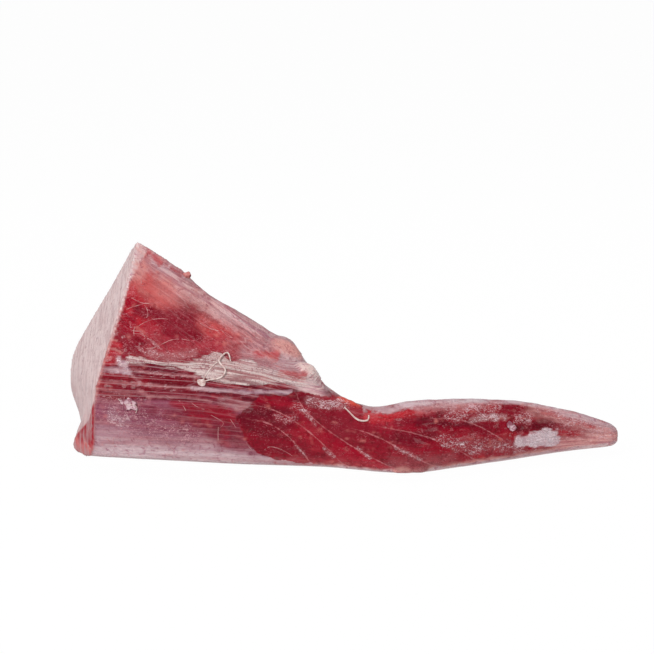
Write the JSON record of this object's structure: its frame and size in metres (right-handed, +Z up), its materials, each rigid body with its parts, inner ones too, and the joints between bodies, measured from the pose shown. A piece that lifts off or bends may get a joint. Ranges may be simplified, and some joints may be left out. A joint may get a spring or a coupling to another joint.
{
  "type": "raw tuna nape",
  "caption": "Raw bluefin tuna nape: a tall boneless wedge of red flesh cut off square behind the head, running out into a flat tapering tail.",
  "frame": {"origin": "middle of the underside of the bounding box", "axes": "+X from the cut end to the tip of the tail, +Y from the front of the piece to its back, +Z up"},
  "size_m": [0.3558, 0.1182, 0.1307],
  "materials": {
    "flesh": "raw wet flesh, dark red muscle with pale sinew lines and a thin mauve skin of membrane",
    "membrane": "wet whitish sinew and torn membrane"
  },
  "bodies": {
    "root": {"nape": "flesh"}
  },
  "joints": []
}
